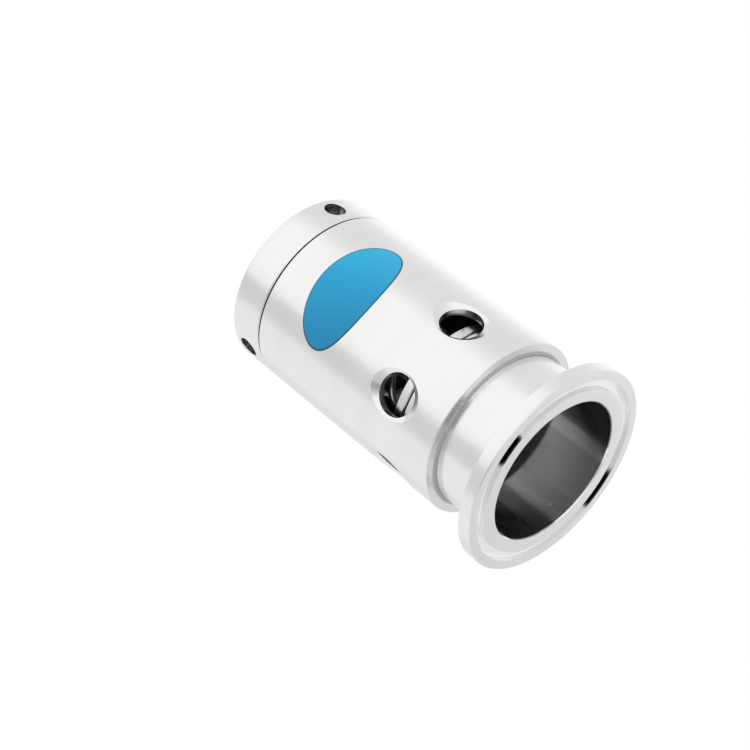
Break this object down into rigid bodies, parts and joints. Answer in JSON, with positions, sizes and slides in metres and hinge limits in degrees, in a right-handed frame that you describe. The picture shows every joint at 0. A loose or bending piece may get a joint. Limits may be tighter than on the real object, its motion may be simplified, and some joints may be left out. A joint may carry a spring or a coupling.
{
  "type": "pressure vacuum valve",
  "caption": "Upright tubular pressure and vacuum relief valve with a clamp ferrule below, countersunk side vents and a screwed cap.",
  "frame": {"origin": "centre of the ferrule's face, on which the valve stands", "axes": "+Z along the valve's axis towards the cap; bearings run from -Y, the side of the label, towards +X"},
  "size_m": [0.0506, 0.0504, 0.0828],
  "materials": {
    "polished_steel": "finely turned and polished",
    "machined_steel": "turned",
    "fastener_steel": "plain",
    "clip_steel": "dark spring steel",
    "spring_steel": "drawn wire",
    "black_rubber": "matt",
    "white_plastic": "satin",
    "blue_label": "gloss film"
  },
  "bodies": {
    "valve": {"clamp_ferrule": "polished_steel", "valve_body": "polished_steel", "side_label": "blue_label", "seat_ring": "machined_steel", "seat_ring_seal": "black_rubber", "seat_snap_ring": "clip_steel", "spring_plate": "machined_steel", "guide_bush": "white_plastic", "plate_snap_ring": "clip_steel", "main_spring": "spring_steel"},
    "cap_screw": {"cap_seal": "black_rubber"},
    "cap": {"valve_cap": "polished_steel"},
    "pressure_group": {"pressure_pallet": "machined_steel", "pallet_gasket": "black_rubber", "gasket_retainer": "machined_steel", "retainer_screws": "fastener_steel", "pallet_bush": "white_plastic", "vacuum_spring": "spring_steel"},
    "vacuum_group": {"vacuum_stem": "machined_steel", "vacuum_poppet": "machined_steel", "vacuum_gasket": "black_rubber", "poppet_washer": "fastener_steel", "poppet_nut": "fastener_steel", "spring_washer": "fastener_steel", "stem_clip": "clip_steel"}
  },
  "joints": [
    {"name": "pressure_lift", "type": "slide", "parent": "valve", "child": "pressure_group", "axis": [0, 0, 1], "range_m": [0, 0.006], "stiffness_N_per_m": 4250, "springref_m": -0.005, "deforming": ["main_spring"]},
    {"name": "vacuum_open", "type": "slide", "parent": "pressure_group", "child": "vacuum_group", "axis": [0, 0, -1], "range_m": [0, 0.0045], "stiffness_N_per_m": 900, "springref_m": -0.0015, "deforming": ["vacuum_spring"]},
    {"name": "cap_lift", "type": "slide", "parent": "valve", "child": "cap_screw", "axis": [0, 0, 1], "range_m": [0, 0.0045]},
    {"name": "cap_turn", "type": "hinge", "parent": "cap_screw", "child": "cap", "pos_m": [0, 0, 0.07], "axis": [0, 0, 1], "range_deg": [0, 1080]}
  ],
  "couplings": [
    {"joint": "cap_lift", "follows": "cap_turn", "m_per_rad": 0.00023873}
  ]
}
